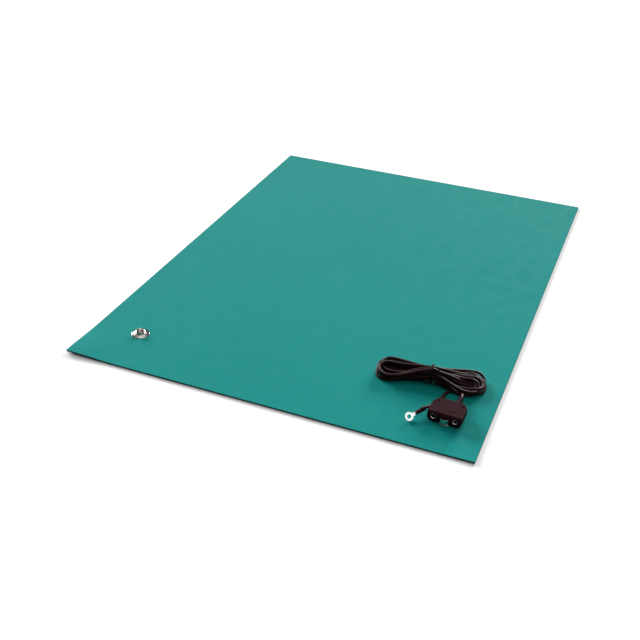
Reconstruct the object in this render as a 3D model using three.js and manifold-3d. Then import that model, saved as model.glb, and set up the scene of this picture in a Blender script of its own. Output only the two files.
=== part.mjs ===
// An anti-static bench mat with a snap stud in its front left corner. Its earthing cord lies on the front
// right corner, bundled and tied. Millimetres, +X to the right along the front edge, +Y away from the
// user, +Z up. The origin is the middle of the mat's underside.
import * as THREE from "three";
import { mergeVertices } from "three/addons/utils/BufferGeometryUtils.js";
import Module from "manifold-3d";

const wasm = await Module();
wasm.setup();

// Clearance kept between turned, curved or cut faces that meet
const clearance = 0.3;

// Mat: a green face on a black backing
const matWidth = 450;
const matDepth = 600;
const baseThickness = 1.5;
const topThickness = 0.5;
const matHeight = baseThickness + topThickness;

// Snap stud: where its centre is, and its pressed sheet
const studFromLeft = 54.2;
const studFromFront = 62;
const studSheet = 0.45;
const flangeDiameter = 20;
const flangeRise = 0.5;
const bossDiameter = 12.8;
const neckDiameter = 9.2;
const neckHeight = 2.2;
const bulgeDiameter = 10.4;
const studHeight = 4.4;

// Eyelet: the rivet through the mat and the stud
const eyeletBore = 2.8;
const eyeletWall = 0.6;
const eyeletHeadDiameter = 11;
const eyeletHeadThickness = 0.4;
const eyeletRimDiameter = 6;
const eyeletRimHeight = 0.8;

// Socket block: two barrels under a flat top, and a narrower back
const blockFromRight = 42.5;
const blockFromFront = 42.4;
const blockTurn = -2.5;
const blockHeight = 11.5;
const barrelDiameter = 12.8;
const jackSpacing = 22.4;
const bridgeClearance = 3.9;
const blockDepth = 26.2;
const cornerCut = 1.2;
const backCutWidth = 4.6;
const backCutDepth = 7.6;
const frontCutDepth = 2.2;
const frontCutHeight = 1.4;
const slotWidth = 3.4;
const slotLength = 1.8;
const slotDeep = 3;
const slotFromCentre = 12.4;
const slotFromFront = 20.9;
const padDiameter = 6.5;
const padHeight = 0.3;
const padFromCentre = 4.9;
const padFromFront = 11;

// Jack sleeves for 4 mm plugs
const jackBore = 4;
const jackWall = 0.5;
const jackLength = 16;
const jackSetback = 0.5;

// Female snap under the block
const socketDiameter = 12.8;
const socketBore = 10.8;
const socketSheet = 0.45;
const socketLip = 0.6;
const socketFromFront = 4.1;
const stemDiameter = 3.2;
const stemHeight = 3;

// Cord and the collar where it leaves the block
const cordDiameter = 3.2;
const collarDiameter = 6;
const collarTip = 5;
const collarLength = 14;
const collarSeat = 3;
const cordExitHeight = 6;

// Bundle: half widths of its plan and the height of its side
const hankX = 150.5;
const hankY = -189.5;
const hankTurn = 8;
const hankLeftLength = 60;
const hankRightLength = 55;
const hankLeftWidth = 35;
const hankLeftShift = 1.5;
const hankRightWidth = 42;
const hankRightShift = 1;
const hankWaistWidth = 17.4;
const hankWaistShift = -2.7;
const hankWaistLength = 9;
const hankLeftHeight = 12.4;
const hankRightHeight = 10.6;
const hankWaistHeight = 17.6;
const hankWaistLift = 1.4;

// Tie round the waist
const tieThickness = 0.8;
const tieWidth = 2.2;

// Ring terminal, its crimp and the sleeve over it
const ringX = 149;
const ringY = -263.4;
const ringYaw = -126.5;
const ringPitch = 9;
const ringRoll = -42;
const ringDiameter = 8.8;
const ringHole = 4.4;
const ringSheet = 0.8;
const tongueWidth = 3.4;
const crimpDiameter = 3.2;
const crimpLength = 8;
const sleeveDiameter = 4.4;
const sleeveLength = 11.5;
const sleeveFromRing = 7.6;

const radians = THREE.MathUtils.degToRad;
const roundSteps = 40;
const smallSteps = 24;
const cordSides = 8;

const finishes = {
  greenRubber: new THREE.MeshStandardMaterial({ color: 0x2e948d, roughness: 0.75, metalness: 0 }),
  blackRubber: new THREE.MeshStandardMaterial({ color: 0x17191a, roughness: 0.85, metalness: 0 }),
  nickel: new THREE.MeshStandardMaterial({ color: 0xc9c2bb, roughness: 0.22, metalness: 1 }),
  tinned: new THREE.MeshStandardMaterial({ color: 0xd6d8d6, roughness: 0.3, metalness: 1 }),
  blackPlastic: new THREE.MeshStandardMaterial({ color: 0x2a1a1d, roughness: 0.5, metalness: 0 }),
  blackCord: new THREE.MeshStandardMaterial({ color: 0x1a1214, roughness: 0.55, metalness: 0 }),
};

// A three.js geometry as a manifold-3d solid
function solid(geometry) {
  const bare = geometry.clone();
  bare.deleteAttribute("normal");
  bare.deleteAttribute("uv");
  const merged = mergeVertices(bare, 1e-4);
  return new wasm.Manifold(
    new wasm.Mesh({
      numProp: 3,
      vertProperties: merged.attributes.position.array,
      triVerts: new Uint32Array(merged.index.array),
    }),
  );
}

// A manifold-3d solid as a three.js geometry
function geometryOf(manifold) {
  const mesh = manifold.getMesh();
  const geometry = new THREE.BufferGeometry();
  geometry.setAttribute("position", new THREE.BufferAttribute(mesh.vertProperties, 3));
  geometry.setIndex(new THREE.BufferAttribute(mesh.triVerts, 1));
  geometry.computeVertexNormals();
  return geometry;
}

function piece(name, geometry, finish) {
  const mesh = new THREE.Mesh(geometry, finish);
  mesh.name = name;
  return mesh;
}

// Turns a closed profile of [radius, height] pairs about +Z
function turned(profile, steps) {
  const points = profile.map(([radius, height]) => new THREE.Vector2(radius, height));
  return new THREE.LatheGeometry(points, steps).rotateX(Math.PI / 2);
}

function outline(points) {
  return new THREE.Shape(points.map(([x, y]) => new THREE.Vector2(x, y)));
}

// Raises a plan shape from height low to height high
function raised(shape, low, high, curveSegments = roundSteps / 4) {
  const options = { depth: high - low, bevelEnabled: false, curveSegments };
  return new THREE.ExtrudeGeometry(shape, options).translate(0, 0, low);
}

// Runs a section drawn in X and Z along +Y from front to back
function runBack(shape, front, back) {
  const options = { depth: back - front, bevelEnabled: false, curveSegments: roundSteps / 2 };
  return new THREE.ExtrudeGeometry(shape, options).rotateX(Math.PI / 2).translate(0, back, 0);
}

function rod(diameter, length, steps = smallSteps) {
  return new THREE.CylinderGeometry(diameter / 2, diameter / 2, length, steps);
}

// Mat layers, each with a hole for the eyelet
const studX = studFromLeft - matWidth / 2;
const studY = studFromFront - matDepth / 2;
const eyeletBarrel = eyeletBore + 2 * eyeletWall;

function matLayer(name, low, high, finish) {
  const plan = outline([
    [-matWidth / 2, -matDepth / 2],
    [matWidth / 2, -matDepth / 2],
    [matWidth / 2, matDepth / 2],
    [-matWidth / 2, matDepth / 2],
  ]);
  const hole = new THREE.Path();
  hole.absarc(studX, studY, eyeletBarrel / 2 + clearance, 0, 2 * Math.PI, true);
  plan.holes.push(hole);
  return piece(name, raised(plan, low, high, smallSteps), finish);
}

function matBaseLayer() {
  const layer = matLayer("mat_base_layer", 0, baseThickness, finishes.blackRubber);
  const seatDepth = eyeletHeadThickness + 2 * clearance;
  const seat = rod(eyeletHeadDiameter + 2 * clearance, 2 * seatDepth, roundSteps);
  seat.rotateX(Math.PI / 2).translate(studX, studY, 0);
  layer.geometry = geometryOf(solid(layer.geometry).subtract(solid(seat)));
  return layer;
}

// Stud: one pressed sheet that rises from a flange to a bulged rim, open at the top
function snapStud() {
  const hole = eyeletBarrel / 2 + clearance;
  const flange = flangeDiameter / 2;
  const boss = bossDiameter / 2;
  const neck = neckDiameter / 2;
  const bulge = bulgeDiameter / 2;
  const floor = flangeRise + studSheet;
  const bulgeHeight = (neckHeight + studHeight) / 2;
  const stud = turned(
    [
      [hole, 0],
      [flange - studSheet / 2, 0],
      [flange, studSheet / 2],
      [flange - studSheet / 2, studSheet],
      [boss, floor],
      [neck + studSheet, floor + studSheet / 2],
      [neck, neckHeight],
      [bulge - studSheet / 4, bulgeHeight - studSheet],
      [bulge, bulgeHeight],
      [bulge, studHeight - studSheet],
      [bulge - studSheet / 2, studHeight],
      [bulge - 2 * studSheet, studHeight],
      [bulge - 3 * studSheet, studHeight - studSheet],
      [neck - 2 * studSheet, neckHeight],
      [neck - 2 * studSheet, floor],
      [hole, floor],
      [hole, 0],
    ],
    roundSteps,
  );
  return piece("snap_stud", stud, finishes.nickel);
}

// Eyelet: a head pressed up into the backing, a barrel, and a rim rolled over the stud's floor
function snapEyelet() {
  const bore = eyeletBore / 2;
  const barrel = eyeletBarrel / 2;
  const head = eyeletHeadDiameter / 2;
  const rim = eyeletRimDiameter / 2;
  const headTop = clearance + eyeletHeadThickness;
  const rimLow = matHeight + flangeRise + studSheet + clearance;
  const rimTop = rimLow + eyeletRimHeight;
  const eyelet = turned(
    [
      [bore, clearance],
      [head, clearance],
      [head, headTop],
      [barrel, headTop],
      [barrel, rimLow],
      [rim - eyeletWall / 4, rimLow],
      [rim, (rimLow + rimTop) / 2],
      [rim - eyeletWall, rimTop],
      [barrel - eyeletWall / 2, rimTop],
      [bore, rimTop - eyeletWall / 2],
      [bore, clearance],
    ],
    roundSteps,
  );
  return piece("snap_eyelet", eyelet, finishes.nickel);
}

// Socket block, drawn with its front face at y = 0 and standing on z = 0
const barrelRadius = barrelDiameter / 2;
const jackX = jackSpacing / 2;
const blockHalfWidth = jackX + barrelRadius;
const jackOuter = jackBore + 2 * jackWall;
const cordX = padFromCentre;

// The front view: a flat top, straight sides and two round barrels with a bridge between them
function frontSection() {
  const bridgeAngle = Math.asin((bridgeClearance - barrelRadius) / barrelRadius);
  const section = new THREE.Shape();
  section.moveTo(-blockHalfWidth, blockHeight);
  section.lineTo(-blockHalfWidth, barrelRadius);
  section.absarc(-jackX, barrelRadius, barrelRadius, Math.PI, 2 * Math.PI + bridgeAngle, false);
  section.absarc(jackX, barrelRadius, barrelRadius, Math.PI - bridgeAngle, 2 * Math.PI, false);
  section.lineTo(blockHalfWidth, blockHeight);
  section.closePath();
  return section;
}

// The top view: small cuts at the front corners and long ones at the back corners
function topPlan() {
  const half = blockHalfWidth;
  const right = [
    [half - cornerCut / 2, 0],
    [half, cornerCut / 2],
    [half, blockDepth - backCutDepth],
    [half - backCutWidth, blockDepth - cornerCut / 2],
    [half - backCutWidth - cornerCut, blockDepth],
  ];
  const left = right.map(([x, y]) => [-x, y]).reverse();
  return outline([...right, ...left]);
}

// The side view: the front edge of the top is cut back
function sideSection() {
  return outline([
    [0, 0],
    [blockDepth, 0],
    [blockDepth, blockHeight],
    [frontCutDepth, blockHeight],
    [0, blockHeight - frontCutHeight],
  ]);
}

function blockHousing() {
  const pad = rod(padDiameter, 2 * padHeight).rotateX(Math.PI / 2);
  pad.translate(padFromCentre, padFromFront, blockHeight);
  const pocket = rod(socketDiameter + 2 * clearance, 2 * bridgeClearance, roundSteps);
  pocket.rotateX(Math.PI / 2).translate(0, socketFromFront, 0);
  const stemHole = rod(stemDiameter + 2 * clearance, 2 * (bridgeClearance + stemHeight));
  stemHole.rotateX(Math.PI / 2).translate(0, socketFromFront, 0);
  const collarHole = rod(collarDiameter + 2 * clearance, 2 * (collarSeat + clearance));
  collarHole.translate(cordX, blockDepth, cordExitHeight);
  const side = new THREE.ExtrudeGeometry(sideSection(), {
    depth: 2 * blockHalfWidth,
    bevelEnabled: false,
  });
  side.rotateX(Math.PI / 2).rotateZ(Math.PI / 2).translate(-blockHalfWidth, 0, 0);
  let housing = solid(raised(topPlan(), 0, blockHeight))
    .intersect(solid(runBack(frontSection(), 0, blockDepth)))
    .intersect(solid(side));
  housing = housing.add(solid(pad));
  for (const cut of [pocket, stemHole, collarHole]) housing = housing.subtract(solid(cut));
  for (const side of [-1, 1]) {
    const slot = new THREE.BoxGeometry(slotWidth, slotLength, 2 * slotDeep);
    slot.translate(side * slotFromCentre, slotFromFront, blockHeight);
    housing = housing.subtract(solid(slot));
    const bore = rod(jackOuter + 2 * clearance, 2 * (jackSetback + jackLength + clearance));
    housing = housing.subtract(solid(bore.translate(side * jackX, 0, barrelRadius)));
  }
  return piece("block_housing", geometryOf(housing), finishes.blackPlastic);
}

// Jack sleeve: a tube open at its front, set back a little in its barrel
function jackSleeve(name, side) {
  const ring = new THREE.Shape().absarc(0, 0, jackOuter / 2, 0, 2 * Math.PI, false);
  ring.holes.push(new THREE.Path().absarc(0, 0, jackBore / 2, 0, 2 * Math.PI, true));
  const options = { depth: jackLength, bevelEnabled: false, curveSegments: smallSteps };
  const sleeve = new THREE.ExtrudeGeometry(ring, options).rotateX(Math.PI / 2);
  sleeve.translate(side * jackX, jackSetback + jackLength, barrelRadius);
  return piece(name, sleeve, finishes.nickel);
}

// Female snap: a cup that opens downwards, with a lip turned in and a stem that holds it in the block
function snapSocket() {
  const outer = socketDiameter / 2;
  const bore = socketBore / 2;
  const wall = bore + socketSheet;
  const stem = stemDiameter / 2;
  const roof = bridgeClearance - clearance;
  const cup = turned(
    [
      [bore - socketLip, 0],
      [outer - socketSheet / 2, 0],
      [outer, socketSheet / 2],
      [outer - socketSheet / 2, socketSheet],
      [wall, 2 * socketSheet],
      [wall, roof - socketSheet / 2],
      [wall - socketSheet / 2, roof],
      [stem, roof],
      [stem, roof + stemHeight],
      [0, roof + stemHeight],
      [0, roof - socketSheet],
      [bore, roof - socketSheet],
      [bore, socketSheet],
      [bore - socketLip, socketSheet],
      [bore - socketLip, 0],
    ],
    roundSteps,
  );
  return piece("snap_socket", cup.translate(0, socketFromFront, 0), finishes.nickel);
}

// Collar: a short tapered tube round the cord, seated in the back of the block
function strainRelief() {
  const outer = collarDiameter / 2;
  const inner = cordDiameter / 2 + clearance;
  const length = collarSeat + collarLength;
  const collar = turned(
    [
      [inner, 0],
      [outer, 0],
      [outer, collarSeat],
      [collarTip / 2, length],
      [inner, length],
      [inner, 0],
    ],
    smallSteps,
  );
  collar.rotateX(-Math.PI / 2).translate(cordX, blockDepth - collarSeat, cordExitHeight);
  return piece("strain_relief", collar, finishes.blackPlastic);
}

function socketBlock() {
  const block = new THREE.Group();
  block.position.set(matWidth / 2 - blockFromRight, blockFromFront - matDepth / 2, matHeight);
  block.rotation.z = radians(blockTurn);
  block.add(
    blockHousing(),
    jackSleeve("jack_sleeve_left", -1),
    jackSleeve("jack_sleeve_right", 1),
    snapSocket(),
    strainRelief(),
  );
  return block;
}

// Bundle: a plan like a bow tie, thick at the tied waist and low at its two looped ends
function cordHank() {
  const plan = new THREE.Shape();
  const left = hankLeftWidth / 2;
  const right = hankRightWidth / 2;
  const waist = hankWaistWidth / 2;
  const neck = hankWaistLength / 2;
  const rightStart = hankRightLength - right / 2;
  const leftAxis = hankLeftShift;
  const rightAxis = hankRightShift;
  const waistAxis = hankWaistShift;
  const leftStart = -hankLeftLength + left;
  plan.moveTo(leftStart, leftAxis - left);
  plan.lineTo(-neck, waistAxis - waist);
  plan.lineTo(neck, waistAxis - waist);
  plan.lineTo(rightStart - right / 2, rightAxis - right);
  plan.quadraticCurveTo(hankRightLength, rightAxis - right, hankRightLength, rightAxis);
  plan.quadraticCurveTo(
    hankRightLength,
    rightAxis + right,
    rightStart - right / 2,
    rightAxis + right,
  );
  plan.lineTo(neck, waistAxis + waist);
  plan.lineTo(-neck, waistAxis + waist);
  plan.lineTo(leftStart, leftAxis + left);
  plan.absarc(leftStart, leftAxis, left, Math.PI / 2, (3 * Math.PI) / 2, false);
  const side = outline([
    [-hankLeftLength, 0],
    [-2 * hankWaistLength, 0],
    [-neck - clearance, hankWaistLift],
    [neck + clearance, hankWaistLift],
    [2 * hankWaistLength, 0],
    [hankRightLength, 0],
    [hankRightLength, hankRightHeight],
    [2 * hankWaistLength, hankRightHeight],
    [neck + clearance, hankWaistHeight],
    [-neck - clearance, hankWaistHeight],
    [-3 * hankWaistLength, hankLeftHeight],
    [-hankLeftLength, hankLeftHeight],
  ]);
  const widest = Math.max(hankLeftWidth, hankRightWidth);
  const shape = solid(raised(plan, 0, hankWaistHeight)).intersect(
    solid(runBack(side, -widest, widest)),
  );
  return piece("cord_hank", geometryOf(shape), finishes.blackCord);
}

// Tie: a flat band closed round the waist of the bundle
function hankTie() {
  const inner = hankWaistWidth / 2 + clearance;
  const outer = inner + tieThickness;
  const low = hankWaistLift - clearance;
  const high = hankWaistHeight + clearance;
  const box = (half, bottom, top) => [
    [hankWaistShift - half, bottom],
    [hankWaistShift + half, bottom],
    [hankWaistShift + half, top],
    [hankWaistShift - half, top],
  ];
  const section = outline(box(outer, low - tieThickness, high + tieThickness));
  section.holes.push(outline(box(inner, low, high).reverse()));
  const options = { depth: tieWidth, bevelEnabled: false };
  const band = new THREE.ExtrudeGeometry(section, options).translate(0, 0, -tieWidth / 2);
  return piece("hank_tie", band.rotateX(Math.PI / 2).rotateZ(Math.PI / 2), finishes.blackPlastic);
}

function bundle() {
  const group = new THREE.Group();
  group.position.set(hankX, hankY, matHeight);
  group.rotation.z = radians(hankTurn);
  group.add(cordHank(), hankTie());
  return group;
}

// Ring terminal, drawn with its ring at the origin and its crimp along -X
const crimpBack = -sleeveFromRing + clearance - crimpLength;

function ringTerminal() {
  const ring = ringDiameter / 2;
  const half = tongueWidth / 2;
  const start = Math.PI - Math.asin(half / ring);
  const face = new THREE.Shape();
  face.moveTo(-sleeveFromRing, half);
  face.lineTo(-sleeveFromRing, -half);
  face.absarc(0, 0, ring, -start, start, false);
  face.closePath();
  face.holes.push(new THREE.Path().absarc(0, 0, ringHole / 2, 0, 2 * Math.PI, true));
  const flat = raised(face, -ringSheet / 2, ringSheet / 2, roundSteps);
  const crimp = rod(crimpDiameter, crimpLength).rotateZ(Math.PI / 2);
  crimp.translate(crimpBack + crimpLength / 2, 0, 0);
  return piece("ring_terminal", geometryOf(solid(flat).add(solid(crimp))), finishes.tinned);
}

function terminalSleeve() {
  const outer = sleeveDiameter / 2;
  const crimp = crimpDiameter / 2 + clearance;
  const cord = cordDiameter / 2 + clearance;
  const step = crimpLength + clearance;
  const sleeve = turned(
    [
      [crimp, 0],
      [outer, 0],
      [outer, sleeveLength],
      [cord, sleeveLength],
      [cord, step],
      [crimp, step],
      [crimp, 0],
    ],
    smallSteps,
  );
  sleeve.rotateY(-Math.PI / 2).translate(-sleeveFromRing - clearance, 0, 0);
  return piece("terminal_sleeve", sleeve, finishes.blackPlastic);
}

function cordEnd() {
  const group = new THREE.Group();
  const lean = Math.hypot(Math.sin(radians(ringPitch)), Math.sin(radians(ringRoll)));
  const rise = (ringDiameter / 2) * lean + ringSheet / 2 + clearance / 2;
  group.position.set(ringX, ringY, matHeight + rise);
  group.rotation.order = "ZYX";
  group.rotation.set(radians(ringRoll), radians(ringPitch), radians(ringYaw));
  group.add(ringTerminal(), terminalSleeve());
  return group;
}

// A tube along a smooth curve through chosen points
function cordTube(name, points) {
  const path = new THREE.CatmullRomCurve3(
    points.map((point) => new THREE.Vector3(...point)),
    false,
    "centripetal",
  );
  const section = new THREE.Shape();
  for (let side = 0; side < cordSides; side++) {
    const angle = (2 * Math.PI * (side + 0.5)) / cordSides;
    const x = (cordDiameter / 2) * Math.cos(angle);
    const y = (cordDiameter / 2) * Math.sin(angle);
    if (side === 0) section.moveTo(x, y);
    else section.lineTo(x, y);
  }
  section.closePath();
  const steps = Math.ceil(path.getLength() / (2 * cordDiameter));
  const tube = new THREE.ExtrudeGeometry(section, { steps, extrudePath: path });
  return piece(name, tube, finishes.blackCord);
}

const block = socketBlock();
const end = cordEnd();
block.updateMatrixWorld(true);
end.updateMatrixWorld(true);
const collarMouth = block.localToWorld(
  new THREE.Vector3(cordX, blockDepth + clearance, cordExitHeight),
);
const collarOut = block.localToWorld(
  new THREE.Vector3(cordX, blockDepth + collarLength + cordDiameter, cordExitHeight),
);
const sleeveMouth = end.localToWorld(new THREE.Vector3(crimpBack - clearance, 0, 0));
const sleeveOut = end.localToWorld(
  new THREE.Vector3(-sleeveFromRing - sleeveLength - cordDiameter, 0, 0),
);
const lying = matHeight + clearance + cordDiameter / 2;

const part = new THREE.Group();
const stud = new THREE.Group();
stud.position.set(studX, studY, 0);
const studOnMat = snapStud();
studOnMat.position.z = matHeight;
stud.add(studOnMat, snapEyelet());
part.add(
  matBaseLayer(),
  matLayer("mat_top_layer", baseThickness, matHeight, finishes.greenRubber),
  stud,
  block,
  bundle(),
  end,
  cordTube("cord_to_block", [
    collarMouth.toArray(),
    collarOut.toArray(),
    [188.4, -211.6, 7.2],
    [187.6, -207.6, 6.4],
  ]),
  cordTube("cord_to_ring", [
    [171.3, -208.1, lying],
    [170, -214.5, lying],
    [166.2, -226.3, lying + 0.8],
    sleeveOut.toArray(),
    sleeveMouth.toArray(),
  ]),
);

export default part;
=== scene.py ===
import math

import bmesh
import bpy
import numpy as np
from mathutils import Matrix, Vector


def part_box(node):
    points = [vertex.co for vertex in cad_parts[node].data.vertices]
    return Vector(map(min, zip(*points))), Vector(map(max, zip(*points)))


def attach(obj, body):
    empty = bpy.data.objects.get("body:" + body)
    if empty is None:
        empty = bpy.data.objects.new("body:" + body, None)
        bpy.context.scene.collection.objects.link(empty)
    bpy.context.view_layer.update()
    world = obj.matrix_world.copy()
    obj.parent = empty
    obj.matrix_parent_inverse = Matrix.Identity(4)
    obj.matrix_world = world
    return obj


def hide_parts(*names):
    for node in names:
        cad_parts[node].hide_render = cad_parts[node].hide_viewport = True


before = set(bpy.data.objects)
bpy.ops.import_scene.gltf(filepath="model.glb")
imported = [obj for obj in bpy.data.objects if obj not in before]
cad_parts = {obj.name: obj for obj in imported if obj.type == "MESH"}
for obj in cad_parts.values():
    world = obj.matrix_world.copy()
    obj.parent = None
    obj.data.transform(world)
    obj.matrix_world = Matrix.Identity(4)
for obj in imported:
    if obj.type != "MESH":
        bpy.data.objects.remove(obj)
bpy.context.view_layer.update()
mm = 0.001

# Camera: it stands in front of the mat, a little to its right, and looks down on it. Its place, turn
# and focal length were worked out from the mat's four corners in the photograph.
azimuth = math.radians(21.365)
depression = math.radians(32.429)
roll = math.radians(1.499)

forward = Vector(
    (
        -math.sin(azimuth) * math.cos(depression),
        math.cos(azimuth) * math.cos(depression),
        -math.sin(depression),
    )
)
level_right = forward.cross(Vector((0, 0, 1))).normalized()
level_up = level_right.cross(forward)
camera_right = level_right * math.cos(roll) + level_up * math.sin(roll)
camera_up = level_up * math.cos(roll) - level_right * math.sin(roll)
turn = Matrix((camera_right, camera_up, -forward)).transposed().to_4x4()

camera_data = bpy.data.cameras.new("camera")
camera_data.sensor_width = 36
camera_data.lens = 52.66
camera_data.clip_start = 0.05
camera = bpy.data.objects.new("camera", camera_data)
camera.matrix_world = Matrix.Translation((0.32989, -0.97255, 0.57654)) @ turn
bpy.context.scene.collection.objects.link(camera)
bpy.context.scene.camera = camera
bpy.context.scene.view_settings.view_transform = "Standard"

# Earthing cord: one limp round cord with a black vinyl jacket, 3.2 mm thick. Ten turns of it are wound
# flat and gathered at the waist by a tie. One end comes out of the socket block, the other goes into
# the ring terminal, and both come out from under the near side of the bundle.
cord_thickness = 3.2
cord_radius = cord_thickness / 2
turns = 10
mat_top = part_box("mat_top_layer")[1][2] / mm

bundle_x = 150.5
bundle_y = -189.5
bundle_turn = math.radians(8)

# Across the bundle the runs lie in lanes: far ones and near ones, joined by the folds at each end
left_lanes = (16.9, 13.1, 9.3, 5.6)
left_fold = 19.4
left_far_rise = 2.4
right_lanes = ((19.6, 15.3, 11.0, 6.7, 2.4), (17.5, 13.2, 8.9, 4.6, 0.3))
right_folds = (21.2, 19.6)
right_reaches = (48.5, 54.0)
right_droops = (0.0, 2.4)
right_far_rise = 2.4

# Which lane each turn takes, from the first wound to the last, and how far each layer lies above the next
left_order = (0, 2, 1, 3, 0, 2, 1, 3, 1, 3)
right_order = (3, 1, 4, 0, 2, 3, 1, 4, 0, 2)
left_layer_step = 2.78
right_layer_step = 2.4
left_lanes_in_layer = 4
right_lanes_in_layer = 5

# At the waist the runs are packed in an ellipse inside the tie
waist_half_width = 8.1
waist_half_height = 7.4
waist_across = -2.6
waist_middle = cord_radius + waist_half_height + 0.8
packing_rise = 0.87
choosing_order = (8, 0, 4, 1, 5, 9, 2, 6, 3, 7)

# The exposed ends, in the CAD frame: out of the collar and down under the bundle, and out from under
# the bundle into the terminal's sleeve
from_block = (
    (188.7, -231.3, 8.0),
    (188.93, -226.0, 8.0),
    (189.16, -220.7, 8.0),
    (189.2, -216.0, 7.8),
    (188.5, -210.6, 6.9),
    (186.6, -205.0, 5.4),
    (183.0, -201.2, 4.2),
)
to_ring = (
    (172.4, -204.6, 3.7),
    (170.9, -209.2, 3.7),
    (170.0, -214.5, 3.7),
    (168.4, -220.5, 3.9),
    (166.2, -227.5, 4.6),
    (165.2, -233.0, 5.7),
    (165.0, -238.6, 7.4),
    (161.98, -245.85, 9.03),
)
ring_mouth = (157.6, -251.8, 9.9)
ring_cord_lane = -15.8


def eased(share):
    share = min(max(share, 0), 1)
    return share * share * (3 - 2 * share)


def in_bundle(point):
    x = point[0] - bundle_x
    y = point[1] - bundle_y
    along = x * math.cos(bundle_turn) + y * math.sin(bundle_turn)
    across = -x * math.sin(bundle_turn) + y * math.cos(bundle_turn)
    return np.array((along, across, point[2] - mat_top))


def in_frame(points):
    along, across, up = points.T
    x = bundle_x + along * math.cos(bundle_turn) - across * math.sin(bundle_turn)
    y = bundle_y + along * math.sin(bundle_turn) + across * math.cos(bundle_turn)
    return np.stack((x, y, up + mat_top), axis=1)


def through(points, steps=10):
    """A smooth curve through chosen points (centripetal)."""
    points = np.asarray(points, dtype=float)
    ends = (2 * points[0] - points[1], 2 * points[-1] - points[-2])
    knots = np.vstack((ends[0], points, ends[1]))
    curve = []
    for first in range(len(knots) - 3):
        p0, p1, p2, p3 = knots[first : first + 4]
        t0 = 0
        t1 = t0 + np.linalg.norm(p1 - p0) ** 0.5
        t2 = t1 + np.linalg.norm(p2 - p1) ** 0.5
        t3 = t2 + np.linalg.norm(p3 - p2) ** 0.5
        for t in np.linspace(t1, t2, steps, endpoint=False):
            a1 = (p0 * (t1 - t) + p1 * (t - t0)) / (t1 - t0)
            a2 = (p1 * (t2 - t) + p2 * (t - t1)) / (t2 - t1)
            a3 = (p2 * (t3 - t) + p3 * (t - t2)) / (t3 - t2)
            b1 = (a1 * (t2 - t) + a2 * (t - t0)) / (t2 - t0)
            b2 = (a2 * (t3 - t) + a3 * (t - t1)) / (t3 - t1)
            curve.append((b1 * (t2 - t) + b2 * (t - t1)) / (t2 - t1))
    curve.append(points[-1])
    return np.array(curve)


def evenly(points, step):
    lengths = np.linalg.norm(np.diff(points, axis=0), axis=1)
    stations = np.concatenate(((0,), np.cumsum(lengths)))
    count = round(stations[-1] / step) + 1
    wanted = np.linspace(0, stations[-1], count)
    return np.stack([np.interp(wanted, stations, points[:, axis]) for axis in range(3)], axis=1)


def waist_slots():
    slots = []
    for row in range(-4, 5):
        for column in range(-5, 6):
            across = (column + 0.5 * (row % 2)) * cord_thickness + 0.3 + waist_across
            up = row * cord_thickness * packing_rise + waist_middle + 0.4
            slots.append((across, up))
    slots.sort(
        key=lambda slot: ((slot[0] - waist_across) / waist_half_width) ** 2
        + ((slot[1] - waist_middle) / waist_half_height) ** 2
    )
    slots = sorted(slots[: 2 * turns], key=lambda slot: -slot[0])
    far = sorted(slots[:turns], key=lambda slot: slot[1])
    near = sorted(slots[turns:], key=lambda slot: slot[1])
    return far, near


def nearest_slots(slots, lanes):
    """Each run takes the free slot nearest to its own lane, so that few runs cross."""
    free = list(slots)
    taken = {}
    for run in choosing_order:
        height = waist_middle - 5 + 5 * (run // left_lanes_in_layer)
        best = min(
            free,
            key=lambda slot: (slot[0] - waist_across - 0.45 * lanes[run]) ** 2
            + (1.3 * (slot[1] - height)) ** 2,
        )
        free.remove(best)
        taken[run] = best
    return taken


def run_of_cord(start, end, start_lane, slot, end_lane, count=60):
    points = []
    for along in np.linspace(start, end, count):
        lane = start_lane if along * start > 0 else end_lane
        fold_start = abs(start) if along * start > 0 else abs(end)
        share = min(max((abs(along) - 2) / (fold_start - 2), 0), 1)
        share = 0.6 * eased(share) + 0.4 * math.sin(math.pi / 2 * share)
        across = slot[0] * (1 - share) + lane[0] * share
        up = slot[1] * (1 - share) + lane[1] * share
        points.append((along, across, up))
    return points


def fold(along, side, from_across, to_across, from_up, to_up, droop=0, count=18):
    centre = (from_across + to_across) / 2
    radius = (from_across - to_across) / 2
    points = []
    for angle in np.linspace(0, math.pi, count)[1:-1]:
        points.append(
            (
                along + side * abs(radius) * math.sin(angle),
                centre + radius * math.cos(angle),
                from_up + (to_up - from_up) * eased(angle / math.pi) - droop * math.sin(angle) ** 2,
            )
        )
    return points


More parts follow.
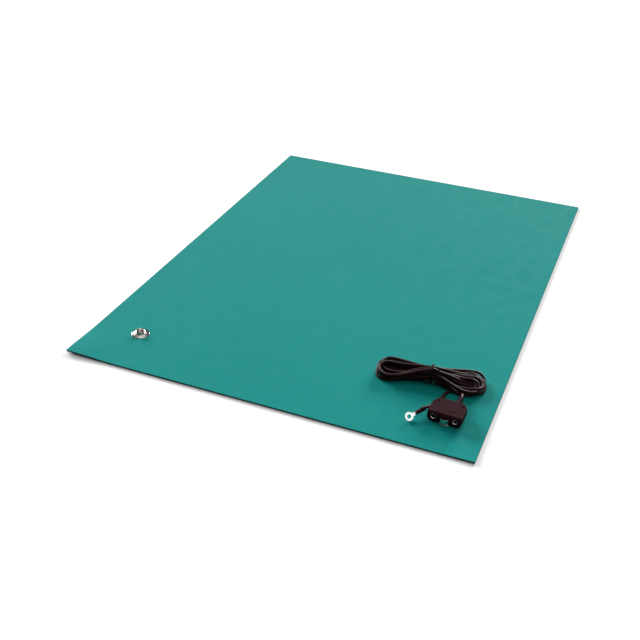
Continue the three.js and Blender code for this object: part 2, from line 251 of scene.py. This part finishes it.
def wound_path():
    draw = np.random.default_rng(4)
    left_reach = [56.9 - draw.uniform(0, 3.5) for _ in range(turns)]
    right_short = [draw.uniform(0, 3.5) for _ in range(turns)]
    far_slots, near_slots = waist_slots()
    left = []
    right = []
    for run in range(turns):
        layer = run // left_lanes_in_layer
        far = left_lanes[left_order[run]] + 1.5 * (layer % 2) - 0.4
        left.append((far, far - left_fold, cord_radius + left_layer_step * layer))
        layer = run // right_lanes_in_layer
        far = right_lanes[layer][right_order[run]]
        right.append((far, far - right_folds[layer], cord_radius + right_layer_step * layer))
    middle = [0.5 * (left[run][0] + right[run][0]) for run in range(turns)]
    far_taken = nearest_slots(far_slots, middle)
    middle = [0.5 * (left[run][1] + right[run - 1][1]) for run in range(turns)]
    near_taken = nearest_slots(near_slots, middle)

    points = []
    start = 25
    start_lane = (-14.0, cord_radius)
    last = turns - 1
    for run in range(turns):
        far, near, up = left[run]
        high = up + left_far_rise
        left_end = -(left_reach[run] - left_fold / 2)
        points += run_of_cord(start, left_end, start_lane, near_taken[run], (near, up))
        points += fold(left_end, -1, near, far, up, high)
        layer = run // right_lanes_in_layer
        right_far, right_near, low = right[run]
        right_high = low + right_far_rise
        right_end = right_reaches[layer] - right_short[run] - right_folds[layer] / 2
        points += run_of_cord(
            left_end, right_end, (far, high), far_taken[run], (right_far, right_high)
        )
        if run == last:
            right_near = ring_cord_lane
            low = cord_radius + 1
        droop = right_droops[layer]
        points += fold(right_end, 1, right_far, right_near, right_high, low, droop)
        start = right_end
        start_lane = (right_near, low)
    before = [in_bundle(point) for point in from_block] + [np.array(points[0])]
    after = [
        np.array((start, start_lane[0], start_lane[1])),
        np.array((start - 6, ring_cord_lane, cord_radius + 0.4)),
        np.array((start - 13, -15.4, cord_radius)),
        np.array((start - 19, -15.2, cord_radius)),
    ]
    after += [in_bundle(point) for point in to_ring + (ring_mouth,)]
    return np.vstack((through(before)[:-1], np.array(points), through(after)[1:]))


def settled(points, passes, held=12, contact=2.85):
    """Runs that touch push one another apart, sink, and stay off the mat and inside the tie."""
    count = len(points)
    moved = np.zeros_like(points)
    free = np.ones((count, 1))
    free[:held] = 0
    free[-held:] = 0
    order = np.arange(count)
    neighbours = 4
    sinking = 0.015
    half_tie = 3
    apart = np.abs(order[:, None] - order[None, :]) > neighbours
    for step in range(passes):
        now = points + moved
        if step < 0.8 * passes:
            moved[:, 2] -= sinking
        square = ((now[:, None, :] - now[None, :, :]) ** 2).sum(axis=2)
        first, second = np.nonzero((square < contact * contact) & apart)
        once = first < second
        first = first[once]
        second = second[once]
        away = now[first] - now[second]
        distance = np.maximum(np.sqrt(square[first, second]), 0.001)
        push = away / distance[:, None] * (0.5 * (contact - distance))[:, None]
        total = np.zeros_like(now)
        touches = np.zeros(count)
        np.add.at(total, first, push)
        np.add.at(total, second, -push)
        np.add.at(touches, first, 1)
        np.add.at(touches, second, 1)
        moved += total / np.sqrt(np.maximum(touches, 1))[:, None] * free
        for _ in range(3):
            between = moved.copy()
            between[1:-1] = (moved[:-2] + moved[2:]) / 2
            moved += 0.5 * (between - moved)
        now = points + moved
        tied = np.abs(now[:, 0]) < half_tie
        ring = now[tied]
        reach = np.sqrt(
            ((ring[:, 1] - waist_across) / waist_half_width) ** 2
            + ((ring[:, 2] - waist_middle) / waist_half_height) ** 2
        )
        reach = np.maximum(reach, 1)
        ring[:, 1] = waist_across + (ring[:, 1] - waist_across) / reach
        ring[:, 2] = waist_middle + (ring[:, 2] - waist_middle) / reach
        now[tied] = ring
        now[:, 2] = np.maximum(now[:, 2], cord_radius)
        moved = (now - points) * free
    return points + moved


def linked(name, data):
    made = bpy.data.objects.new(name, data)
    bpy.context.scene.collection.objects.link(made)
    return made


def plain_material(name, colour, roughness, metallic=0.0):
    material = bpy.data.materials.new(name)
    material.use_nodes = True
    shader = material.node_tree.nodes["Principled BSDF"]
    shader.inputs["Base Color"].default_value = (*colour, 1)
    shader.inputs["Roughness"].default_value = roughness
    shader.inputs["Metallic"].default_value = metallic
    return material, shader


def node(tree, kind, **values):
    made = tree.nodes.new(kind)
    for name, value in values.items():
        if name in made.inputs:
            made.inputs[name].default_value = value
        else:
            setattr(made, name, value)
    return made


def noise(tree, scale, detail=3.0):
    place = node(tree, "ShaderNodeTexCoord")
    pattern = node(tree, "ShaderNodeTexNoise", Detail=detail)
    if isinstance(scale, bpy.types.NodeSocket):
        tree.links.new(scale, pattern.inputs["Scale"])
    else:
        pattern.inputs["Scale"].default_value = scale
    tree.links.new(place.outputs["Object"], pattern.inputs["Vector"])
    return pattern.outputs["Fac"]


def spread(tree, value, low, high):
    """A value from 0.3 to 0.7 of a noise becomes one from low to high."""
    mapped = node(tree, "ShaderNodeMapRange")
    mapped.inputs["From Min"].default_value = 0.3
    mapped.inputs["From Max"].default_value = 0.7
    for name, limit in (("To Min", low), ("To Max", high)):
        if isinstance(limit, bpy.types.NodeSocket):
            tree.links.new(limit, mapped.inputs[name])
        else:
            mapped.inputs[name].default_value = limit
    tree.links.new(value, mapped.inputs["Value"])
    return mapped.outputs["Result"]


def handled_finish():
    """Patches where a surface was handled are a little glossier, and a fine grain covers all of it."""
    group = bpy.data.node_groups.new("handled finish", "ShaderNodeTree")
    for name in ("Patch Scale", "Roughness Low", "Roughness High", "Grain Scale"):
        group.interface.new_socket(name=name, in_out="INPUT", socket_type="NodeSocketFloat")
    for name in ("Patches", "Roughness", "Grain"):
        group.interface.new_socket(name=name, in_out="OUTPUT", socket_type="NodeSocketFloat")
    given = group.nodes.new("NodeGroupInput").outputs
    result = group.nodes.new("NodeGroupOutput").inputs
    patches = noise(group, given["Patch Scale"])
    group.links.new(spread(group, patches, 0, 1), result["Patches"])
    rough = spread(group, patches, given["Roughness Low"], given["Roughness High"])
    group.links.new(rough, result["Roughness"])
    group.links.new(noise(group, given["Grain Scale"], 2), result["Grain"])
    return group


handled = handled_finish()


def give_finish(material, shader, patch_scale, low, high, grain_scale, grain_depth):
    tree = material.node_tree
    finish = tree.nodes.new("ShaderNodeGroup")
    finish.node_tree = handled
    finish.inputs["Patch Scale"].default_value = patch_scale
    finish.inputs["Roughness Low"].default_value = low
    finish.inputs["Roughness High"].default_value = high
    finish.inputs["Grain Scale"].default_value = grain_scale
    tree.links.new(finish.outputs["Roughness"], shader.inputs["Roughness"])
    bump = node(tree, "ShaderNodeBump", Distance=grain_depth)
    tree.links.new(finish.outputs["Grain"], bump.inputs["Height"])
    tree.links.new(bump.outputs["Normal"], shader.inputs["Normal"])
    return finish.outputs["Patches"]


def blended(material, shader, value, first, second):
    ramp = node(material.node_tree, "ShaderNodeMix", data_type="RGBA")
    ramp.inputs["A"].default_value = (*first, 1)
    ramp.inputs["B"].default_value = (*second, 1)
    material.node_tree.links.new(value, ramp.inputs["Factor"])
    material.node_tree.links.new(ramp.outputs["Result"], shader.inputs["Base Color"])


vinyl, vinyl_shader = plain_material("black_vinyl", (0.028, 0.009, 0.011), 0.5)
vinyl_shader.inputs["Specular IOR Level"].default_value = 0.1
give_finish(vinyl, vinyl_shader, 160, 0.42, 0.54, 900, 0.00005)

coarse_step = 2.4
fine_step = 1.2
settling_passes = 160
winding = settled(evenly(wound_path(), coarse_step), settling_passes)
winding = evenly(through(in_frame(winding), 4), fine_step) * mm

cord_data = bpy.data.curves.new("earthing_cord", "CURVE")
cord_data.dimensions = "3D"
cord_data.bevel_depth = cord_radius * mm
cord_data.bevel_resolution = 4
cord_data.use_fill_caps = True
line = cord_data.splines.new("POLY")
line.points.add(len(winding) - 1)
line.points.foreach_set("co", np.column_stack((winding, np.ones(len(winding)))).ravel())
line.use_smooth = True
earthing_cord = linked("earthing_cord", cord_data)
cord_data.materials.append(vinyl)
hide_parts("cord_to_block", "cord_hank", "cord_to_ring")
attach(earthing_cord, "root")

# Tie: a flat black plastic strip with a wire inside, passed once round the waist of the bundle and
# twisted together at the back, where its two ends stand a few millimetres clear.
tie_width = 1.9
tie_thickness = 0.7
tie_half_width = waist_half_width + cord_radius + tie_thickness / 2 - 0.1
tie_half_height = waist_half_height + cord_radius + tie_thickness / 2 - 0.1
twist_angle = math.radians(122)
twist_length = 7.5
twist_turns = 1.5


def tie_tree():
    """The strip's section follows an oval for the band and two twined spirals for the twisted ends."""
    tree = bpy.data.node_groups.new("tie strip", "GeometryNodeTree")
    lengths = ("Strip Width", "Strip Thickness", "Half Width", "Half Height", "Twist Length", "Twist Turns")
    for name in lengths:
        tree.interface.new_socket(name=name, in_out="INPUT", socket_type="NodeSocketFloat")
    for name in ("Waist", "Waist Turn", "Twist Foot", "Twist Turn"):
        tree.interface.new_socket(name=name, in_out="INPUT", socket_type="NodeSocketVector")
    tree.interface.new_socket(name="Material", in_out="INPUT", socket_type="NodeSocketMaterial")
    tree.interface.new_socket(name="Geometry", in_out="OUTPUT", socket_type="NodeSocketGeometry")
    given = tree.nodes.new("NodeGroupInput").outputs
    result = tree.nodes.new("NodeGroupOutput").inputs
    strip_section = tree.nodes.new("GeometryNodeCurvePrimitiveQuadrilateral")
    tree.links.new(given["Strip Thickness"], strip_section.inputs["Width"])
    tree.links.new(given["Strip Width"], strip_section.inputs["Height"])
    rounded = node(tree, "GeometryNodeFilletCurve", mode="POLY", Count=3, Radius=0.3 * mm)
    tree.links.new(strip_section.outputs["Curve"], rounded.inputs["Curve"])
    joined = tree.nodes.new("GeometryNodeJoinGeometry")

    def lay(curve, place, turned):
        skin = node(tree, "GeometryNodeCurveToMesh")
        skin.inputs["Fill Caps"].default_value = True
        tree.links.new(curve, skin.inputs["Curve"])
        tree.links.new(rounded.outputs["Curve"], skin.inputs["Profile Curve"])
        moved = tree.nodes.new("GeometryNodeTransform")
        tree.links.new(skin.outputs["Mesh"], moved.inputs["Geometry"])
        tree.links.new(place, moved.inputs["Translation"])
        tree.links.new(turned, moved.inputs["Rotation"])
        tree.links.new(moved.outputs["Geometry"], joined.inputs["Geometry"])

    circle = node(tree, "GeometryNodeCurvePrimitiveCircle", Resolution=72, Radius=1.0)
    oval_size = node(tree, "ShaderNodeCombineXYZ", Z=1.0)
    tree.links.new(given["Half Width"], oval_size.inputs["X"])
    tree.links.new(given["Half Height"], oval_size.inputs["Y"])
    oval = tree.nodes.new("GeometryNodeTransform")
    tree.links.new(circle.outputs["Curve"], oval.inputs["Geometry"])
    tree.links.new(oval_size.outputs["Vector"], oval.inputs["Scale"])
    lay(oval.outputs["Geometry"], given["Waist"], given["Waist Turn"])
    for end in (0, 1):
        spiral = node(tree, "GeometryNodeCurveSpiral", Resolution=16)
        spiral.inputs["Start Radius"].default_value = 0.42 * mm
        spiral.inputs["End Radius"].default_value = 0.6 * mm
        tree.links.new(given["Twist Length"], spiral.inputs["Height"])
        tree.links.new(given["Twist Turns"], spiral.inputs["Rotations"])
        facing = node(tree, "GeometryNodeTransform", Rotation=(0, 0, math.pi * end))
        tree.links.new(spiral.outputs["Curve"], facing.inputs["Geometry"])
        lay(facing.outputs["Geometry"], given["Twist Foot"], given["Twist Turn"])
    real = tree.nodes.new("GeometryNodeRealizeInstances")
    tree.links.new(joined.outputs["Geometry"], real.inputs["Geometry"])
    finished = tree.nodes.new("GeometryNodeSetMaterial")
    tree.links.new(real.outputs["Geometry"], finished.inputs["Geometry"])
    tree.links.new(given["Material"], finished.inputs["Material"])
    tree.links.new(finished.outputs["Geometry"], result["Geometry"])
    return tree


def made_by_nodes(name, tree, values, smooth_angle=40):
    """A plain mesh from a tree of geometry nodes with its inputs set."""
    made = linked(name, bpy.data.meshes.new(name))
    modifier = made.modifiers.new(name, "NODES")
    modifier.node_group = tree
    for item in tree.interface.items_tree:
        if item.name in values:
            modifier[item.identifier] = values[item.name]
    bpy.context.view_layer.update()
    result = bpy.data.meshes.new_from_object(made.evaluated_get(bpy.context.evaluated_depsgraph_get()))
    made.modifiers.clear()
    made.data = result
    made.data.shade_smooth()
    made.data.set_sharp_from_angle(angle=math.radians(smooth_angle))
    return made


def finished_mesh(name, mesh, material, smooth_angle=40):
    bmesh.ops.recalc_face_normals(mesh, faces=mesh.faces)
    data = bpy.data.meshes.new(name)
    mesh.to_mesh(data)
    mesh.free()
    data.materials.append(material)
    data.shade_smooth()
    data.set_sharp_from_angle(angle=math.radians(smooth_angle))
    return linked(name, data)


strip, strip_shader = plain_material("black_tie_strip", (0.006, 0.004, 0.005), 0.5)
strip_shader.inputs["Specular IOR Level"].default_value = 0.06
give_finish(strip, strip_shader, 300, 0.5, 0.65, 1500, 0.00004)

along_bundle = Vector((math.cos(bundle_turn), math.sin(bundle_turn), 0))
across_bundle = Vector((-math.sin(bundle_turn), math.cos(bundle_turn), 0))
upright = Vector((0, 0, 1))
waist_place = in_frame(np.array([[0, waist_across, waist_middle]]))[0] * mm
foot = (
    0.4,
    waist_across + (tie_half_width + 0.7) * math.cos(twist_angle),
    waist_middle + (tie_half_height + 0.7) * math.sin(twist_angle),
)
lying_along = (along_bundle * 0.99 - upright * 0.12).normalized()
hank_tie = made_by_nodes(
    "waist_tie",
    tie_tree(),
    {
        "Strip Width": tie_width * mm,
        "Strip Thickness": tie_thickness * mm,
        "Half Width": tie_half_width * mm,
        "Half Height": tie_half_height * mm,
        "Twist Length": twist_length * mm,
        "Twist Turns": twist_turns,
        "Waist": [float(value) for value in waist_place],
        "Waist Turn": list(Matrix((across_bundle, upright, along_bundle)).transposed().to_euler()),
        "Twist Foot": [float(value) for value in in_frame(np.array([foot]))[0] * mm],
        "Twist Turn": list(lying_along.to_track_quat("Z", "Y").to_euler()),
        "Material": strip,
    },
)
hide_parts("hank_tie")
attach(hank_tie, "root")

# Mat: two layers of rubber calendered and vulcanised together, 450 by 600 mm. The backing is 1.5 mm of
# black conductive rubber and the face 0.5 mm of matt green dissipative rubber. The sheet was cut with a
# blade, so its edges are square, and two of its corners don't lie quite flat.
mat_low, mat_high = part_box("mat_base_layer")
face_low, face_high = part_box("mat_top_layer")
mat_cell = 7.5 * mm
corner_lifts = (
    ((mat_low[0], mat_low[1]), 2.0 * mm, 60 * mm),
    ((mat_high[0], mat_low[1]), 0.5 * mm, 40 * mm),
)
stud_low, stud_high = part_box("snap_stud")
stud_x = (stud_low[0] + stud_high[0]) / 2
stud_y = (stud_low[1] + stud_high[1]) / 2
barrel_hole = 2.3 * mm
head_seat = 5.8 * mm
head_seat_depth = 1.0 * mm


def corner_lift(x, y):
    lift = 0
    for (corner_x, corner_y), height, reach in corner_lifts:
        distance = math.hypot(x - corner_x, y - corner_y)
        lift += height * eased(1 - distance / reach)
    return lift


def slab(name, low, high, holes, material):
    """A thin sheet in small cells, bent up at its lifted corners."""
    columns = round((mat_high[0] - mat_low[0]) / mat_cell)
    count = round((mat_high[1] - mat_low[1]) / mat_cell)
    mesh = bmesh.new()
    faces = []
    for level in (low, high):
        grid = []
        for j in range(count + 1):
            y = mat_low[1] + (mat_high[1] - mat_low[1]) * j / count
            line = []
            for i in range(columns + 1):
                x = mat_low[0] + (mat_high[0] - mat_low[0]) * i / columns
                line.append(mesh.verts.new((x, y, level)))
            grid.append(line)
        for j in range(count):
            for i in range(columns):
                mesh.faces.new((grid[j][i], grid[j][i + 1], grid[j + 1][i + 1], grid[j + 1][i]))
        faces.append(grid)
    border = [(0, i) for i in range(columns)]
    border += [(j, columns) for j in range(count)]
    border += [(count, i) for i in range(columns, 0, -1)]
    border += [(j, 0) for j in range(count, 0, -1)]
    for place, (j, i) in enumerate(border):
        nj, ni = border[(place + 1) % len(border)]
        mesh.faces.new((faces[0][j][i], faces[0][nj][ni], faces[1][nj][ni], faces[1][j][i]))
    made = finished_mesh(name, mesh, material, 30)
    for hole, depth in holes:
        cutter = bmesh.new()
        bmesh.ops.create_cone(
            cutter,
            cap_ends=True,
            segments=48,
            radius1=hole,
            radius2=hole,
            depth=2 * depth,
            matrix=Matrix.Translation((stud_x, stud_y, 0)),
        )
        data = bpy.data.meshes.new("cutter")
        cutter.to_mesh(data)
        cutter.free()
        tool = linked("cutter", data)
        cut = made.modifiers.new("hole", "BOOLEAN")
        cut.operation = "DIFFERENCE"
        cut.solver = "EXACT"
        cut.object = tool
        bpy.context.view_layer.update()
        result = bpy.data.meshes.new_from_object(made.evaluated_get(bpy.context.evaluated_depsgraph_get()))
        made.modifiers.clear()
        made.data = result
        bpy.data.objects.remove(tool)
    for vertex in made.data.vertices:
        vertex.co.z += corner_lift(vertex.co.x, vertex.co.y)
    made.data.set_sharp_from_angle(angle=math.radians(30))
    return made


green, green_shader = plain_material("green_rubber_face", (0.010, 0.22, 0.206), 0.85)
green_shader.inputs["Specular IOR Level"].default_value = 0.08
give_finish(green, green_shader, 60, 0.8, 0.9, 1200, 0.00012)
cloudy = spread(green.node_tree, noise(green.node_tree, 5, 2), 0, 1)
blended(green, green_shader, cloudy, (0.001, 0.205, 0.187), (0.002, 0.215, 0.196))

black, black_shader = plain_material("black_rubber_backing", (0.006, 0.006, 0.006), 0.7)
give_finish(black, black_shader, 80, 0.62, 0.8, 1800, 0.00008)

mat_base = slab(
    "rubber_backing",
    mat_low[2],
    mat_high[2],
    ((barrel_hole, 2 * mat_high[2]), (head_seat, head_seat_depth)),
    black,
)
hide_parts("mat_base_layer")
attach(mat_base, "root")
mat_face = slab("rubber_face", face_low[2], face_high[2], ((barrel_hole, 2 * face_high[2]),), green)
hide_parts("mat_top_layer")
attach(mat_face, "root")

# Snap stud and its eyelet: the male half of a 10 mm press snap, pressed from nickel-plated brass strip.
# The eyelet goes up through the mat from below, and its rim is rolled over inside the stud to hold it.
nickel, nickel_shader = plain_material("bright_nickel", (0.80, 0.78, 0.74), 0.16, 1.0)
tarnish = give_finish(nickel, nickel_shader, 500, 0.12, 0.24, 1400, 0.00002)
blended(nickel, nickel_shader, tarnish, (0.84, 0.82, 0.78), (0.70, 0.68, 0.65))


def turned_piece(name, profile, centre, material, steps=96, round_off=3, smooth_angle=35):
    """A shape turned about an upright axis from a profile of (radius, height) points in millimetres."""
    outline = []
    count = len(profile)
    for i, (radius, height) in enumerate(profile):
        before = Vector(profile[i - 1])
        here = Vector((radius, height))
        after = Vector(profile[(i + 1) % count])
        if round_off and radius > 0 and before.x > 0 and after.x > 0:
            cut = min(0.3 * (before - here).length, 0.3 * (after - here).length, 0.35)
            start = here + (before - here).normalized() * cut
            finish = here + (after - here).normalized() * cut
            for step in range(round_off + 1):
                t = step / round_off
                outline.append(start * (1 - t) ** 2 + here * 2 * t * (1 - t) + finish * t * t)
        else:
            outline.append(here)
    mesh = bmesh.new()
    rings = []
    for radius, height in outline:
        if radius < 1e-6:
            rings.append([mesh.verts.new((centre[0], centre[1], centre[2] + height * mm))])
            continue
        ring = []
        for step in range(steps):
            angle = 2 * math.pi * step / steps
            x = centre[0] + radius * mm * math.cos(angle)
            y = centre[1] + radius * mm * math.sin(angle)
            ring.append(mesh.verts.new((x, y, centre[2] + height * mm)))
        rings.append(ring)
    for i, ring in enumerate(rings):
        following = rings[(i + 1) % len(rings)]
        if len(ring) == 1 and len(following) == 1:
            continue
        for step in range(steps):
            j = (step + 1) % steps
            if len(ring) == 1:
                mesh.faces.new((ring[0], following[step], following[j]))
            elif len(following) == 1:
                mesh.faces.new((ring[step], ring[j], following[0]))
            else:
                mesh.faces.new((ring[step], ring[j], following[j], following[step]))
    return finished_mesh(name, mesh, material, smooth_angle)


stud_profile = (
    (2.3, 0.0),
    (9.6, 0.0),
    (10.0, 0.2),
    (9.75, 0.45),
    (6.9, 0.72),
    (6.4, 0.95),
    (5.1, 1.15),
    (4.62, 1.7),
    (4.6, 2.3),
    (5.1, 2.85),
    (5.2, 3.3),
    (5.2, 3.95),
    (4.95, 4.4),
    (4.3, 4.4),
    (3.9, 4.0),
    (3.72, 2.4),
    (3.7, 0.95),
    (2.3, 0.95),
)
snap_stud = turned_piece("press_snap_stud", stud_profile, (stud_x, stud_y, face_high[2]), nickel, 128)
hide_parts("snap_stud")
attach(snap_stud, "root")

eyelet_profile = (
    (1.4, 0.3),
    (5.5, 0.3),
    (5.5, 0.7),
    (2.0, 0.7),
    (2.0, 3.25),
    (2.85, 3.25),
    (3.0, 3.65),
    (2.5, 4.05),
    (1.75, 4.0),
    (1.4, 3.6),
)
snap_eyelet = turned_piece("rolled_eyelet", eyelet_profile, (stud_x, stud_y, 0), nickel)
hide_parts("snap_eyelet")
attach(snap_eyelet, "root")

# Socket block: one moulding of black ABS with a finely textured face and softly rounded edges. Its two
# round barrels hold the jacks, and a small bare disc stands a little proud of its top.
abs_plastic, abs_shader = plain_material("black_moulded_plastic", (0.024, 0.006, 0.009), 0.6)
abs_shader.inputs["Specular IOR Level"].default_value = 0.015
give_finish(abs_plastic, abs_shader, 200, 0.55, 0.66, 2600, 0.00006)


def softened(name, node_name, material, edge, segments=2, smooth_angle=32):
    """The node's own faces, merged and given rounded edges."""
    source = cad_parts[node_name]
    mesh = bmesh.new()
    mesh.from_mesh(source.data)
    bmesh.ops.remove_doubles(mesh, verts=mesh.verts, dist=2e-6)
    bmesh.ops.dissolve_limit(mesh, angle_limit=math.radians(1), verts=mesh.verts, edges=mesh.edges)
    made = finished_mesh(name, mesh, material, smooth_angle)
    rounding = made.modifiers.new("rounded edges", "BEVEL")
    rounding.width = edge
    rounding.segments = segments
    rounding.limit_method = "ANGLE"
    rounding.angle_limit = math.radians(smooth_angle)
    rounding.use_clamp_overlap = True
    made.modifiers.new("flat faces", "WEIGHTED_NORMAL").keep_sharp = True
    bpy.context.view_layer.update()
    result = bpy.data.meshes.new_from_object(made.evaluated_get(bpy.context.evaluated_depsgraph_get()))
    made.modifiers.clear()
    made.data = result
    return made


housing = softened("socket_housing", "block_housing", abs_plastic, 0.3 * mm)
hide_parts("block_housing")
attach(housing, "root")

# Jack sleeves: two tubes of nickel-plated brass, pressed into the barrels for 4 mm plugs. Each one's mouth
# is opened out into a small funnel that guides the plug in.
jack_profile = (
    (2.0, 16.0),
    (2.5, 16.0),
    (2.5, 0.1),
    (2.8, -0.1),
    (2.8, -0.45),
    (2.65, -0.5),
    (2.0, 0.75),
)
jack_length = 16 * mm
block_turn = math.radians(-2.5)
for jack in ("jack_sleeve_left", "jack_sleeve_right"):
    low, high = (Vector(corner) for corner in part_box(jack))
    back = Vector((-math.sin(block_turn), math.cos(block_turn), 0))
    mouth = (low + high) / 2 - back * jack_length / 2
    sleeve = turned_piece(jack.replace("jack_sleeve", "plated_jack"), jack_profile, (0, 0, 0), nickel, 64)
    laid = back.to_track_quat("Z", "Y").to_matrix().to_4x4()
    sleeve.data.transform(Matrix.Translation(mouth) @ laid)
    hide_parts(jack)
    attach(sleeve, "root")

# Female snap: the half that presses onto the mat's stud. It is a cup drawn from nickel-plated brass,
# riveted under the bridge between the barrels, and its mouth is rolled outwards into a bright rim.
cup_low, cup_high = (Vector(corner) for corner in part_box("snap_socket"))
cup_height = (cup_high.z - cup_low.z) / mm
cup_profile = (
    (0.0, cup_height),
    (5.6, cup_height),
    (5.85, cup_height - 0.25),
    (5.85, 1.2),
    (6.6, 0.45),
    (6.6, 0.15),
    (6.45, 0.0),
    (4.8, 0.0),
    (4.8, 0.45),
    (5.4, 0.45),
    (5.4, cup_height - 0.45),
    (0.0, cup_height - 0.45),
)
cup_centre = ((cup_low.x + cup_high.x) / 2, (cup_low.y + cup_high.y) / 2, cup_low.z)
cup = turned_piece("plated_snap_cup", cup_profile, cup_centre, nickel)
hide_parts("snap_socket")
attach(cup, "root")

# Strain relief: a tapered sleeve moulded in the block's own black plastic, round the cord where the
# cord comes out of the back of the block.
relief = softened("tapered_strain_relief", "strain_relief", abs_plastic, 0.4 * mm, 3)
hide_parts("strain_relief")
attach(relief, "root")

# Ring terminal: stamped from tinned copper, with its barrel crimped on the cord's conductor. A black
# vinyl sleeve is pushed over the crimp.
tin, tin_shader = plain_material("bright_tin", (0.86, 0.86, 0.85), 0.2, 1.0)
give_finish(tin, tin_shader, 500, 0.14, 0.3, 1200, 0.00003)
terminal = softened("tinned_ring", "ring_terminal", tin, 0.12 * mm)
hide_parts("ring_terminal")
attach(terminal, "root")

crimp_cover = softened("terminal_cover", "terminal_sleeve", vinyl, 0.35 * mm, 3)
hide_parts("terminal_sleeve")
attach(crimp_cover, "root")

# Floor and lights: a plain white floor. Two low windows of light and a high soft one stand behind the mat,
# so every shadow falls towards the viewer. Two weak ones at the side and front only show in the metal.
floor_half = 6.0
floor_corners = [
    (-floor_half, -floor_half, 0),
    (floor_half, -floor_half, 0),
    (floor_half, floor_half, 0),
    (-floor_half, floor_half, 0),
]
floor_data = bpy.data.meshes.new("floor")
floor_data.from_pydata(floor_corners, [], [(0, 1, 2, 3)])
floor = linked("floor", floor_data)
paper, paper_shader = plain_material("white_paper", (0.9, 0.9, 0.9), 0.9)
paper_shader.inputs["Specular IOR Level"].default_value = 0.2
floor_data.materials.append(paper)


def window_of_light(name, heading, height, width, strength):
    """A far soft light: its compass heading from the mat, its height and its width as seen from there."""
    data = bpy.data.lights.new(name, "SUN")
    data.angle = math.radians(width)
    data.energy = strength
    light = linked(name, data)
    light.rotation_euler = (math.radians(90 - height), 0, math.radians(180 - heading))
    return light


window_of_light("low_left_light", -58, 17, 24, 5.2)
window_of_light("low_right_light", 4, 17, 24, 4.4)
window_of_light("high_back_light", -21, 72, 46, 0.75)
window_of_light("side_light", 100, 52, 30, 0.25)
window_of_light("front_light", 160, 62, 18, 0.22)

world = bpy.data.worlds.new("studio")
bpy.context.scene.world = world
world.use_nodes = True
world.node_tree.nodes["Background"].inputs["Color"].default_value = (1, 1, 1, 1)
world.node_tree.nodes["Background"].inputs["Strength"].default_value = 0.05
